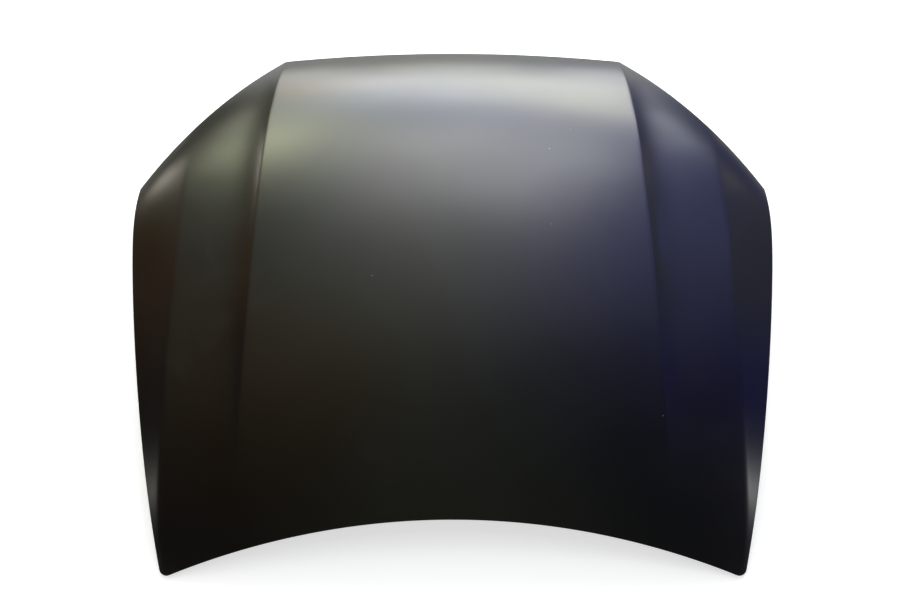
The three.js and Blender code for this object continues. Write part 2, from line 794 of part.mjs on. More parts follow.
function strikerPlate() {
  const shape = plateShape(STRIKER_PLATE.width, STRIKER_PLATE.length, STRIKER_PLATE.corner);
  const settings = { depth: STRIKER_PLATE.thickness, bevelEnabled: false, curveSegments: 4 };
  const low = -FRAME - GAP - STRIKER_PLATE.thickness;
  return new THREE.ExtrudeGeometry(shape, settings).translate(0, 0, low);
}

// A bent wire: two feet, two legs and a bar, with round bends
function strikerLoop() {
  const { wire, halfSpan, drop, foot, bend, steps } = STRIKER;
  const top = -FRAME - 2 * GAP - STRIKER_PLATE.thickness - wire;
  const corners = [
    [-halfSpan - foot, top], [-halfSpan, top], [-halfSpan, top - drop],
    [halfSpan, top - drop], [halfSpan, top], [halfSpan + foot, top],
  ].map(([x, z]) => new THREE.Vector3(x, 0, z));
  const path = new THREE.CurvePath();
  let from = corners[0];
  for (let index = 1; index < corners.length - 1; index += 1) {
    const corner = corners[index];
    const start = corner.clone().add(from.clone().sub(corner).setLength(bend));
    const end = corner.clone().add(corners[index + 1].clone().sub(corner).setLength(bend));
    path.add(new THREE.LineCurve3(from, start));
    path.add(new THREE.QuadraticBezierCurve3(start, corner, end));
    from = end;
  }
  path.add(new THREE.LineCurve3(from, corners[corners.length - 1]));
  const section = new THREE.Shape();
  section.absarc(0, 0, wire, 0, 2 * Math.PI, false);
  return new THREE.ExtrudeGeometry(section, { extrudePath: path, steps, curveSegments: 5 });
}

// A lozenge of mastic on a land, between the frame and the skin, within one cell of the grid
function masticPad(column, row) {
  const shell = new Shell();
  const at = (across, along, depth) => {
    const nearSide = gridPoint(column, row, depth).lerp(gridPoint(column + 1, row, depth), across);
    const farSide = gridPoint(column, row + 1, depth).lerp(gridPoint(column + 1, row + 1, depth), across);
    return nearSide.lerp(farSide, along);
  };
  const length = gridPoint(column, row, 0).distanceTo(gridPoint(column, row + 1, 0));
  const rim = [];
  for (let side = 0; side < MASTIC.sides; side += 1) {
    const angle = 2 * Math.PI * side / MASTIC.sides;
    rim.push([0.5 + MASTIC.share * Math.cos(angle), 0.5 + MASTIC.halfLength / length * Math.sin(angle)]);
  }
  const topDepth = SKIN + GAP;
  const underDepth = LAND - GAP;
  const top = rim.map(([across, along]) => shell.vertex(at(across, along, topDepth)));
  const under = rim.map(([across, along]) => shell.vertex(at(across, along, underDepth)));
  const topMiddle = shell.vertex(at(0.5, 0.5, topDepth));
  const underMiddle = shell.vertex(at(0.5, 0.5, underDepth));
  faceBand(shell, top, under, true);
  top.forEach((vertex, index) => {
    const next = (index + 1) % top.length;
    shell.face(topMiddle, vertex, top[next]);
    shell.face(underMiddle, under[next], under[index]);
  });
  return shell.geometry();
}

// The assembly

const bonnet = new THREE.Group();

function addPiece(name, geometry, finish, parent = bonnet) {
  const piece = new THREE.Mesh(geometry, new THREE.MeshStandardMaterial(finish));
  piece.name = name;
  parent.add(piece);
  return piece;
}

function groupOnPad(pad) {
  const group = new THREE.Group();
  group.applyMatrix4(pad.frame.matrix);
  bonnet.add(group);
  return group;
}

function sideName(side) {
  return side > 0 ? 'left' : 'right';
}

addPiece('outer_skin', outerSkin(), BLACK_PRIMER);
addPiece('inner_frame', innerFrame(), INNER_PRIMER);
addPiece('latch_reinforcement', latchReinforcement(), INNER_PRIMER);
addPiece('palm_reinforcement', palmReinforcement(), INNER_PRIMER);

const strikerGroup = groupOnPad(PADS[0]);
addPiece('striker_plate', strikerPlate(), INNER_PRIMER, strikerGroup);
addPiece('striker_loop', strikerLoop(), INNER_PRIMER, strikerGroup);

for (const pad of PADS.filter(({ side }) => side)) {
  const group = groupOnPad(pad);
  const name = sideName(pad.side);
  addPiece(`hinge_reinforcement_${name}`, hingePlate(), INNER_PRIMER, group);
  for (const [end, label] of [[-1, 'front'], [1, 'rear']]) {
    const nut = addPiece(`hinge_nut_${name}_${label}`, weldNut(), INNER_PRIMER, group);
    nut.position.set(0, end * HINGE_BOLT_SPACING / 2, 2 * GAP + HINGE_PLATE.thickness);
  }
}

const MASTIC_COLUMNS = [2, 6, 9, 14, 18];
const MASTIC_ROWS = [6, 14];
for (const side of [-1, 1]) {
  let count = 0;
  for (const column of MASTIC_COLUMNS) {
    for (const row of MASTIC_ROWS) {
      count += 1;
      const firstColumn = side > 0 ? column : -column - 1;
      addPiece(`mastic_${sideName(side)}_${count}`, masticPad(firstColumn, row), MASTIC_GREY);
    }
  }
}

// The origin is under the middle of the panel, on the floor
bonnet.updateMatrixWorld(true);
const bounds = new THREE.Box3().setFromObject(bonnet, true);
bonnet.position.set(0, -(bounds.min.y + bounds.max.y) / 2, -bounds.min.z);

export default bonnet;
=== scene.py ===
"""Looks of a bare car bonnet in satin black primer, lying outer side up.

The outer skin is worked out here as one fine closed surface over its CAD solid. All lengths inside
the shape functions are millimetres, in the panel's own frame: X across the car, Y from the nose to
the windscreen. The meshes are in metres.
"""

import math

import bpy
import numpy as np
from bpy.props import (
    FloatProperty,
    FloatVectorProperty,
    IntProperty,
    PointerProperty,
)
from bpy.types import Operator, Panel, PropertyGroup
from mathutils import Matrix, Vector


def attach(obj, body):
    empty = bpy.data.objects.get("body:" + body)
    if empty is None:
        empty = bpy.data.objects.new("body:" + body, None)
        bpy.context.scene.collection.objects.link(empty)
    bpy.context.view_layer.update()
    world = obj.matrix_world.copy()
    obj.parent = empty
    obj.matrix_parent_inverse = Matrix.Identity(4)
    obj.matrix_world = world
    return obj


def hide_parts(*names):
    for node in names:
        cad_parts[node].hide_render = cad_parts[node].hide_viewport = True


bl_info = {
    "name": "Car bonnet",
    "version": (1, 0, 0),
    "blender": (4, 5, 0),
    "location": "View3D > Sidebar > Bonnet",
    "description": "A folded and primed car bonnet with its inner frame and fittings",
    "category": "Object",
}

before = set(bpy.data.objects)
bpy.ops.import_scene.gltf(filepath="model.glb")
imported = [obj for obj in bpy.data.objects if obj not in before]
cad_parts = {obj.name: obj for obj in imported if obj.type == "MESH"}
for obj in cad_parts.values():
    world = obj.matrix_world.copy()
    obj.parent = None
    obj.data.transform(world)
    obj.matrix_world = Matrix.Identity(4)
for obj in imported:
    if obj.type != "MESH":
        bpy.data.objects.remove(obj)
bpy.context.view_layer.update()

# Plan outline of the half with X > 0
HALF_WIDTH = 700.0
NOSE_Y = -600.0
NOSE_BOW = 17.0
GRILLE_CORNER = np.array([361.0, NOSE_Y + NOSE_BOW])
HEADLIGHT_PULL = np.array([531.0, -490.0])
SIDE_CORNER_Y = -310.0
REAR_CORNER_Y = 599.0
REAR_MIDDLE_Y = 415.0
REAR_SWEEP = 3.96e-4
SIDE_FLARE = 21.0
SIDE_FLARE_REACH = 68.0
SIDE_TAPER = 21.0
SIDE_TAPER_POWER = 1.75

# Fold lines; a run along them that is less than FROM is taken as FROM
FOLD_START_X = 384.0
FOLD_SPREAD = 0.105
FOLD_FLARE = 23.0
FOLD_FLARE_REACH = 99.0
FOLD_FLARE_FROM = -60.0
OUTER_FOLD_START = np.array([559.0, -447.0])
OUTER_FOLD_FROM = -200.0
OUTER_FOLD_SPREAD = 0.128
OUTER_FOLD_HOOK = 24.0
OUTER_FOLD_LENGTH = 1041.0
OUTER_FOLD_POWER = 8

# Crown of the outer surface
TOP_Y = -3.0
LENGTH_RADIUS = 1750.0
NOSE_ROLL = 50.0
NOSE_ROLL_REACH = 62.0
CROWN = 1.25e-4
NOSE_CROWN = 2.4e-4
NOSE_CROWN_REACH = 110.0
STEP_DROP = 11.0
STEP_REACH = 25.0
STEP_GROWS_OVER = 190.0
STEP_FADES_FROM = -150.0
STEP_FADES_OVER = 560.0
HEADLIGHT_ROLL = 14.0
HEADLIGHT_ROLL_REACH = 40.0
HEADLIGHT_ROLL_START = 20.0
ROLL_SOFTNESS = 2.5
ROLL_SLOPE = 0.24
ROLL_EASE_FRONT = 0.12
ROLL_EASE_REAR = 0.08
ROLL_EASE_FROM = 300.0
ROLL_EASE_FRONT_Y = -100.0

# Sheet metal and the clinched hem: depths below the outer surface and insets from the edge
SKIN = 0.8
HEM_INSIDE = 1.2
RETURN_TOP = 2.1
HEM_THICKNESS = 2.9
HEM_RETURN = 10.0
EDGE_RADIUS = HEM_THICKNESS / 2
FLANGE_MIDDLE = 6.0
HEM_ARC_POINTS = 13
# Rounding of the return flange's free end
END_REACH = 0.4
END_INSET = 0.1
END_DEPTH = 0.12
# Rounding of the inside of the fold
INSIDE_REACH = 0.4
INSIDE_INSET = 0.1
INSIDE_DEPTH = 0.2

# From the panel's own frame to the CAD frame: the middle of its length, and its feet on the floor
SHIFT_Y = 5.85
SHIFT_Z = 164.708
# Millimetres in a metre
MILLIMETRES = 1000
# Edges that turn by more than this are shaded sharp
SHARP_ANGLE = math.radians(38)


# Plan curves


def side_x(y):
    """Half width at y: a constant, less an exponential flare in front and a power taper behind."""
    share = np.maximum((y - SIDE_CORNER_Y) / (REAR_CORNER_Y - SIDE_CORNER_Y), 0)
    flare = SIDE_FLARE * np.exp((SIDE_CORNER_Y - y) / SIDE_FLARE_REACH)
    return HALF_WIDTH - flare - SIDE_TAPER * share**SIDE_TAPER_POWER


def rear_y(x):
    """The windscreen edge: a parabola."""
    return REAR_MIDDLE_Y + REAR_SWEEP * x * x


def fold_x(y):
    """The sharp fold line: a straight line less an exponential that dies out behind the nose."""
    run = y - GRILLE_CORNER[1]
    flare = FOLD_FLARE * np.exp(-np.maximum(run, FOLD_FLARE_FROM) / FOLD_FLARE_REACH)
    return FOLD_START_X + FOLD_SPREAD * run - flare


def outer_fold_x(y):
    """The soft outer fold: a straight line that hooks inwards by a power of its run."""
    run = np.maximum(y - OUTER_FOLD_START[1], OUTER_FOLD_FROM)
    hook = OUTER_FOLD_HOOK * (np.maximum(run, 0) / OUTER_FOLD_LENGTH) ** OUTER_FOLD_POWER
    return OUTER_FOLD_START[0] + OUTER_FOLD_SPREAD * run - hook


def headlight_y(half):
    """Y of the headlight edge at a distance from the middle: its quadratic curve, with its share
    found from the distance by the root of that quadratic."""
    corner_x = side_x(SIDE_CORNER_Y)
    bend = GRILLE_CORNER[0] - 2 * HEADLIGHT_PULL[0] + corner_x
    pull = HEADLIGHT_PULL[0] - GRILLE_CORNER[0]
    share = (np.sqrt(pull * pull - bend * (GRILLE_CORNER[0] - half)) - pull) / bend
    straight = (1 - share) ** 2 * GRILLE_CORNER[1] + share**2 * SIDE_CORNER_Y
    return straight + 2 * share * (1 - share) * HEADLIGHT_PULL[1]


def smooth_ramp(distance, length):
    """3t^2 - 2t^3 with t the distance over the length, held between 0 and 1."""
    share = np.clip(distance / length, 0, 1)
    return share * share * (3 - 2 * share)


def soft_positive(value, softness):
    """softness * ln(1 + exp(value / softness)): a ramp with a rounded foot."""
    return softness * np.logaddexp(0, value / softness)


def height(x, y, crease):
    """Height of the outer surface, zero at its highest: a circle along the car, exponential rolls
    at the nose and the headlight edge, a parabola across, an exponential step outside the fold and
    a straight roll-down outside the outer fold. The fold is rounded over the crease length."""
    half = np.abs(x)
    from_nose = y - NOSE_Y
    length_drop = (y - TOP_Y) ** 2 / (2 * LENGTH_RADIUS)
    nose_drop = NOSE_ROLL * np.exp(-from_nose / NOSE_ROLL_REACH)
    crown = CROWN + (NOSE_CROWN - CROWN) * np.exp(-from_nose / NOSE_CROWN_REACH)
    grows = smooth_ramp(from_nose, STEP_GROWS_OVER)
    stays = 1 - smooth_ramp(y - STEP_FADES_FROM, STEP_FADES_OVER)
    outside = soft_positive(half - fold_x(y), crease)
    step = STEP_DROP * grows * stays * (1 - np.exp(-outside / STEP_REACH))
    roll = HEADLIGHT_ROLL * np.exp((headlight_y(half) - y) / HEADLIGHT_ROLL_REACH)
    roll = roll * (1 - np.exp(-outside / HEADLIGHT_ROLL_START))
    past_outer = soft_positive(half - outer_fold_x(y), ROLL_SOFTNESS)
    slope = (
        ROLL_SLOPE
        - ROLL_EASE_FRONT * smooth_ramp(ROLL_EASE_FRONT_Y - y, ROLL_EASE_FROM)
        - ROLL_EASE_REAR * smooth_ramp(y - ROLL_EASE_FROM, ROLL_EASE_FROM)
    )
    return -length_drop - nose_drop - crown * half * half - step - roll - slope * past_outer


def surface_normal(x, y, crease):
    """Unit normal of the outer surface, from differences of its height half a millimetre away."""
    reach = 0.5
    slope_x = (height(x + reach, y, crease) - height(x - reach, y, crease)) / (2 * reach)
    slope_y = (height(x, y + reach, crease) - height(x, y - reach, crease)) / (2 * reach)
    normal = np.stack([-slope_x, -slope_y, np.ones_like(slope_x)], axis=-1)
    return normal / np.linalg.norm(normal, axis=-1, keepdims=True)


# Outline of the panel as a dense run of points, with rounded corners

CURVE_POINTS = 400
SIDE_POINTS = 1800
REAR_POINTS = 1400
ARC_POINTS = 25
CROSSING_ROUNDS = 20


def length_shares(points):
    """The share of a run's length at each of its points."""
    steps = np.linalg.norm(np.diff(points, axis=0), axis=1)
    run = np.concatenate([[0], np.cumsum(steps)])
    return run / run[-1]


def along(points, shares):
    """Points at shares of the length of a run of points."""
    run = length_shares(points)
    return np.stack([np.interp(shares, run, points[:, axis]) for axis in (0, 1)], axis=-1)


def join_rounded(first, second, radius):
    """Two runs that meet in a corner, joined by an arc of a circle that touches both, whose centre
    lies a radius inside the first run."""
    corner = first[-1]
    into = corner - first[-2]
    out = second[1] - corner
    into, out = into / np.linalg.norm(into), out / np.linalg.norm(out)
    turn = math.acos(float(np.clip(into @ out, -1, 1)))
    reach = radius * math.tan(turn / 2)
    first = first[np.linalg.norm(first - corner, axis=1) > reach]
    second = second[np.linalg.norm(second - corner, axis=1) > reach]
    inward = np.array([-into[1], into[0]])
    centre = corner - into * reach + inward * radius
    angles = np.linspace(0, turn, ARC_POINTS)[:, None]
    arc = centre - inward * radius * np.cos(angles) + into * radius * np.sin(angles)
    return np.concatenate([first, arc, second])


def meet_rear(line_x, y):
    """Y where a line, given as its x at any y, meets the windscreen edge, starting from a guess."""
    for _ in range(CROSSING_ROUNDS):
        y = rear_y(line_x(y))
    return y


def half_outline(grille_radius, rear_radius):
    """The outline from the middle of the nose round the right half to the middle of the rear edge,
    and the shares of its length at the grille, side and rear corners and at the fold."""
    across = np.linspace(0, 1, CURVE_POINTS)[:, None]
    nose = np.concatenate([GRILLE_CORNER[0] * across, NOSE_Y + NOSE_BOW * across**2], axis=1)
    side_corner = np.array([side_x(SIDE_CORNER_Y), SIDE_CORNER_Y])
    pulled = 2 * across * (1 - across) * HEADLIGHT_PULL
    headlight = (1 - across) ** 2 * GRILLE_CORNER + pulled + across**2 * side_corner
    y = np.linspace(SIDE_CORNER_Y, meet_rear(side_x, REAR_CORNER_Y), SIDE_POINTS)
    side = np.stack([side_x(y), y], axis=1)
    x = np.linspace(side[-1, 0], 0, REAR_POINTS)
    rear = np.stack([x, rear_y(x)], axis=1)
    front = join_rounded(nose, headlight, grille_radius)
    back = join_rounded(side, rear, rear_radius)
    run = np.concatenate([front, back[1:]])
    shares = length_shares(run)
    fold_y = meet_rear(fold_x, REAR_MIDDLE_Y)
    marks = (GRILLE_CORNER, side_corner, side[-1], (fold_x(fold_y), fold_y))
    return run, [shares[np.argmin(np.linalg.norm(run - mark, axis=1))] for mark in marks]


# How much closer the lines of the grid lie at the two ends of each run, and how fast that fades
CROWN_DENSITY = (0.0, 0.85)
SHOULDER_DENSITY = (0.85, 0.8)
LENGTH_DENSITY = (0.5, 0.8)
DENSITY_FADE = 14
# Share of the outline's length on each side of a point over which its direction is taken
TANGENT_STEP = 2e-4
# Power by which the fold's ends are drawn to the outline's rounded corners
FOLD_END_POWER = 30


def spread(count, dense_at_start, dense_at_end):
    """Shares from 0 to 1 whose steps shrink towards the ends: the running sum of 1 less, for each
    end, its strength times an exponential that dies out away from it."""
    t = np.linspace(0, 1, count)
    near_start, near_end = np.exp(-t * DENSITY_FADE), np.exp(-(1 - t) * DENSITY_FADE)
    pace = 1 - dense_at_start * near_start - dense_at_end * near_end
    run = np.concatenate([[0], np.cumsum((pace[1:] + pace[:-1]) / 2)])
    return run / run[-1]


def both_halves(half):
    """Columns by rows of points of the right half, with the left one mirrored about X = 0."""
    mirrored = half[:0:-1].copy()
    mirrored[..., 0] *= -1
    return np.concatenate([mirrored, half])


class PanelGrid:
    """Lines across and along the panel, laid out once, that can be drawn in from the edge.

    One half has two four-sided patches, from the middle to the fold and from the fold to the side.
    Each is filled by blending its four borders."""

    def __init__(self, crown_columns, shoulder_columns, rows, grille_radius, rear_radius):
        run, (grille, side, rear_corner, fold) = half_outline(grille_radius, rear_radius)
        self.crown = spread(crown_columns, *CROWN_DENSITY)
        self.shoulder = spread(shoulder_columns, *SHOULDER_DENSITY)
        self.length = spread(rows, *LENGTH_DENSITY)
        marks = np.concatenate([
            grille * self.crown,
            (grille + (side - grille) * self.shoulder)[1:],
            (side + (rear_corner - side) * self.length)[1:],
            (rear_corner + (fold - rear_corner) * (1 - self.shoulder[::-1]))[1:],
            (fold + (1 - fold) * (1 - self.crown[::-1]))[1:],
        ])
        after = along(run, np.minimum(marks + TANGENT_STEP, 1))
        ahead = after - along(run, np.maximum(marks - TANGENT_STEP, 0))
        ahead[0], ahead[-1] = (1, 0), (-1, 0)
        ahead /= np.linalg.norm(ahead, axis=1, keepdims=True)
        self.edge = along(run, marks)
        self.outward = np.stack([ahead[:, 1], -ahead[:, 0]], axis=1)
        self.ends = np.cumsum([crown_columns, shoulder_columns - 1, rows - 1, shoulder_columns - 1])
        self.columns = crown_columns + shoulder_columns - 1
        self.rows = rows

    def inset_edge(self, inset):
        """The edge of the right half drawn in by the inset, its ends kept on the middle line."""
        edge = self.edge - self.outward * inset
        edge[0, 0] = edge[-1, 0] = 0
        return edge

    def blend(self, across, left, right, front, rear):
        """The sum of the straight blends between facing borders, less the blend of the corners."""
        u, v = across[:, None, None], self.length[None, :, None]
        ruled_u = left[None] * (1 - u) + right[None] * u
        ruled_v = front[:, None] * (1 - v) + rear[:, None] * v
        front_corners = left[0] * (1 - u) + right[0] * u
        rear_corners = left[-1] * (1 - u) + right[-1] * u
        return ruled_u + ruled_v - (front_corners * (1 - v) + rear_corners * v)

    def plan(self, inset):
        """Plan points of the half, columns by rows, with the edge drawn in by the inset."""
        edge = self.inset_edge(inset)
        a, b, c, d = self.ends
        nose, headlight = edge[:a], edge[a - 1:b]
        side, rear_side, rear_middle = edge[b - 1:c], edge[c - 1:d][::-1], edge[d - 1:][::-1]
        fold_y = headlight[0, 1] + (rear_side[0, 1] - headlight[0, 1]) * self.length
        fold = np.stack([fold_x(fold_y), fold_y], axis=1)
        fade = (1 - self.length[:, None]) ** FOLD_END_POWER
        rise = self.length[:, None] ** FOLD_END_POWER
        fold = fold + fade * (nose[-1] - fold[0]) + rise * (rear_side[0] - fold[-1])
        middle_y = nose[0, 1] + (rear_middle[0, 1] - nose[0, 1]) * self.length
        middle = np.stack([np.zeros(self.rows), middle_y], axis=1)
        crown = self.blend(self.crown, middle, fold, nose, rear_middle)
        shoulder = self.blend(self.shoulder, fold, side, headlight, rear_side)
        return np.concatenate([crown, shoulder[1:]])

    def loop(self, inset):
        """The edge drawn in by an inset, anticlockwise from the middle of the nose, both halves."""
        edge = self.inset_edge(inset)
        return np.concatenate([edge, edge[-2:0:-1] * (-1, 1)])

    def numbers(self, offset):
        """Vertex numbers of the whole grid, columns by rows."""
        columns = 2 * self.columns - 1
        return np.arange(columns * self.rows).reshape(columns, self.rows) + offset

    def border(self, offset):
        """Vertex numbers of the whole grid's border, in the order of loop()."""
        numbers, middle = self.numbers(offset), self.columns - 1
        return np.concatenate([
            numbers[middle:, 0],
            numbers[-1, 1:],
            numbers[::-1, -1][1:],
            numbers[0, ::-1][1:],
            numbers[1:middle, 0],
        ])

    def faces(self, offset, faces_up):
        """Quads of the whole grid."""
        numbers = self.numbers(offset)
        near, right = numbers[:-1, :-1], numbers[1:, :-1]
        far_right, far = numbers[1:, 1:], numbers[:-1, 1:]
        ring = (near, right, far_right, far) if faces_up else (near, far, far_right, right)
        return np.stack([part.ravel() for part in ring], axis=1)


def band_faces(first, second):
    """Quads between two closed loops of vertex numbers; the second is further round the section."""
    return np.stack([first, second, np.roll(second, -1), np.roll(first, -1)], axis=1)


def to_frame(points):
    """Millimetres in the panel's own frame to metres in the CAD frame."""
    return (points + np.array([0.0, SHIFT_Y, SHIFT_Z])) / MILLIMETRES


def make_mesh(name, points, faces):
    """A mesh object at the origin from points in metres and rings of vertex numbers."""
    mesh = bpy.data.meshes.new(name)
    mesh.from_pydata(points, [], faces)
    mesh.update()
    mesh.shade_smooth()
    mesh.set_sharp_from_angle(angle=SHARP_ANGLE)
    mesh.validate()
    piece = bpy.data.objects.new(name, mesh)
    bpy.context.scene.collection.objects.link(piece)
    return piece


def hem_section():
    """Insets and depths round the hem: half a circle at the edge, the return flange with its
    rounded end, and the inside of the fold."""
    radius = EDGE_RADIUS
    turns = np.linspace(0, math.pi, HEM_ARC_POINTS)[1:]
    around = [(radius * (1 - math.sin(t)), radius - radius * math.cos(t)) for t in turns]
    flange = [
        (FLANGE_MIDDLE, HEM_THICKNESS),
        (HEM_RETURN - END_REACH, HEM_THICKNESS),
        (HEM_RETURN - END_INSET, HEM_THICKNESS - END_DEPTH),
        (HEM_RETURN, (HEM_THICKNESS + RETURN_TOP) / 2),
        (HEM_RETURN - END_INSET, RETURN_TOP + END_DEPTH),
        (HEM_RETURN - END_REACH, RETURN_TOP),
        (FLANGE_MIDDLE, RETURN_TOP),
    ]
    inside = [
        (HEM_INSIDE + INSIDE_REACH, RETURN_TOP),
        (HEM_INSIDE + INSIDE_INSET, RETURN_TOP - INSIDE_DEPTH),
        (HEM_INSIDE + INSIDE_INSET, SKIN + INSIDE_DEPTH),
    ]
    return around + flange + inside


def skin_surface(grid, crease):
    """Points and faces of the outer skin: the outer face is the height function over the grid, the
    inner face lies a sheet thickness below it along the normal, and the hem joins their edges."""

    def surface(plan, depth):
        x, y = plan[..., 0], plan[..., 1]
        top = np.stack([x, y, height(x, y, crease)], axis=-1)
        return top - surface_normal(x, y, crease) * depth

    top = surface(both_halves(grid.plan(EDGE_RADIUS)), 0).reshape(-1, 3)
    under = surface(both_halves(grid.plan(HEM_INSIDE + INSIDE_REACH)), SKIN).reshape(-1, 3)
    well_in = grid.loop(FLANGE_MIDDLE)
    normals = surface_normal(well_in[:, 0], well_in[:, 1], crease)
    rings = [surface(grid.loop(inset), 0) - normals * depth for inset, depth in hem_section()]
    count, around = len(top), len(well_in)
    loops = [np.arange(around) + 2 * count + index * around for index in range(len(rings))]
    loops = [grid.border(0), *loops, grid.border(count)]
    faces = [grid.faces(0, True), grid.faces(count, False)]
    faces += [band_faces(first, second) for first, second in zip(loops[:-1], loops[1:])]
    return np.concatenate([top, under, *rings]), np.concatenate(faces)


# Shared shader node groups

# Numbers of a mix node's sockets when it mixes colours
COLOUR_A, COLOUR_B, COLOUR_RESULT = 6, 7, 2


def new_group(name, inputs, outputs):
    """A shader node group with its sockets; returns the tree, its input and its output node."""
    tree = bpy.data.node_groups.new(name, "ShaderNodeTree")
    for label, kind, value in inputs:
        socket = tree.interface.new_socket(name=label, in_out="INPUT", socket_type=kind)
        if value is not None:
            socket.default_value = value
    for label in outputs:
        tree.interface.new_socket(name=label, in_out="OUTPUT", socket_type="NodeSocketFloat")
    start = tree.nodes.new("NodeGroupInput")
    end = tree.nodes.new("NodeGroupOutput")
    start.location, end.location = (-900, 0), (600, 0)
    return tree, start, end


def add_node(tree, kind, location, links=(), **settings):
    """A node with its settings; links are (input socket, output socket or value)."""
    node = tree.nodes.new(kind)
    node.location = location
    for key, value in settings.items():
        setattr(node, key, value)
    for socket, source in links:
        target = node.inputs[socket]
        if isinstance(source, bpy.types.NodeSocket):
            tree.links.new(source, target)
        else:
            target.default_value = source
    return node


def calculate(tree, location, operation, *values):
    """The result socket of one operation on sockets or numbers."""
    node = add_node(tree, "ShaderNodeMath", location, enumerate(values), operation=operation)
    return node.outputs[0]


def mix_colours(tree, location, factor, first, second):
    """The socket of a colour between two, each a socket or four channels."""
    node = add_node(tree, "ShaderNodeMix", location, data_type="RGBA",
                    links=[("Factor", factor), (COLOUR_A, first), (COLOUR_B, second)])
    return node.outputs[COLOUR_RESULT]


def opaque(colour, factor=1.0, lift=0.0):
    """Four channels from three, each times a factor plus a lift."""
    return [*(channel * factor + lift for channel in colour), 1.0]


def peel_group():
    """Orange peel of sprayed or dipped primer: a fine and a broad noise mixed into one height."""
    name = "primer_peel"
    if name in bpy.data.node_groups:
        return bpy.data.node_groups[name]
    tree, start, end = new_group(
        name,
        [("Vector", "NodeSocketVector", None),
         ("Fine", "NodeSocketFloat", 420.0),
         ("Broad", "NodeSocketFloat", 26.0),
         ("Broad Share", "NodeSocketFloat", 0.35)],
        ["Height"],
    )
    where = ("Vector", start.outputs["Vector"])
    fine = add_node(tree, "ShaderNodeTexNoise", (-600, 120),
                    [where, ("Scale", start.outputs["Fine"]), ("Detail", 2.0)])
    broad = add_node(tree, "ShaderNodeTexNoise", (-600, -160),
                     [where, ("Scale", start.outputs["Broad"]), ("Detail", 3.0)])
    mix = add_node(tree, "ShaderNodeMix", (-200, 0),
                   [("Factor", start.outputs["Broad Share"]), ("A", fine.outputs["Fac"]),
                    ("B", broad.outputs["Fac"])])
    tree.links.new(mix.outputs["Result"], end.inputs["Height"])
    return tree


def dust_group():
    """Loose dust: sparse round specks in random cells, and soft smudges where a noise is high."""
    name = "loose_dust"
    if name in bpy.data.node_groups:
        return bpy.data.node_groups[name]
    tree, start, end = new_group(
        name,
        [("Vector", "NodeSocketVector", None),
         ("Cells", "NodeSocketFloat", 24.0),
         ("Speck Size", "NodeSocketFloat", 0.05),
         ("Share Of Cells", "NodeSocketFloat", 0.10),
         ("Smudge Scale", "NodeSocketFloat", 3.2),
         ("Smudge From", "NodeSocketFloat", 0.62),
         ("Smudge Over", "NodeSocketFloat", 0.14)],
        ["Specks", "Smudges"],
    )
    where = ("Vector", start.outputs["Vector"])
    cells = add_node(tree, "ShaderNodeTexVoronoi", (-700, 200),
                     [where, ("Scale", start.outputs["Cells"])])
    near = calculate(tree, (-480, 260), "LESS_THAN",
                     cells.outputs["Distance"], start.outputs["Speck Size"])
    pick = add_node(tree, "ShaderNodeSeparateColor", (-480, 80),
                    [("Color", cells.outputs["Color"])])
    chosen = calculate(tree, (-280, 80), "LESS_THAN",
                       pick.outputs["Red"], start.outputs["Share Of Cells"])
    specks = calculate(tree, (-80, 180), "MULTIPLY", near, chosen)
    noise = add_node(tree, "ShaderNodeTexNoise", (-700, -200),
                     [where, ("Scale", start.outputs["Smudge Scale"]), ("Detail", 7.0),
                      ("Roughness", 0.62), ("Distortion", 0.6)])
    top = calculate(tree, (-480, -320), "ADD",
                    start.outputs["Smudge From"], start.outputs["Smudge Over"])
    ramp = add_node(tree, "ShaderNodeMapRange", (-280, -220), interpolation_type="SMOOTHSTEP",
                    links=[("Value", noise.outputs["Fac"]),
                           ("From Min", start.outputs["Smudge From"]), ("From Max", top)])
    tree.links.new(specks, end.inputs["Specks"])
    tree.links.new(ramp.outputs["Result"], end.inputs["Smudges"])
    return tree


# Materials


def new_material(name, roughness, specular):
    """A material with one Principled BSDF and Object coordinates."""
    material = bpy.data.materials.new(name)
    material.use_nodes = True
    tree = material.node_tree
    shader = tree.nodes["Principled BSDF"]
    shader.inputs["Roughness"].default_value = roughness
    shader.inputs["Specular IOR Level"].default_value = specular
    place = add_node(tree, "ShaderNodeTexCoord", (-1300, 0))
    return material, tree, shader, place.outputs["Object"]


# How much paler the primer's clouds are, and how far they move its roughness
CLOUD_FACTOR = 1.35
CLOUD_LIFT = 0.001
CLOUD_ROUGHNESS = 0.015
# How much of the dust's colour a speck and a smudge show, and how much rougher a smudge is
SPECK_SHARE = 0.16
SMUDGE_SHARE = 0.006
SMUDGE_ROUGHNESS = 0.02
PEEL_DEPTH = 0.0004


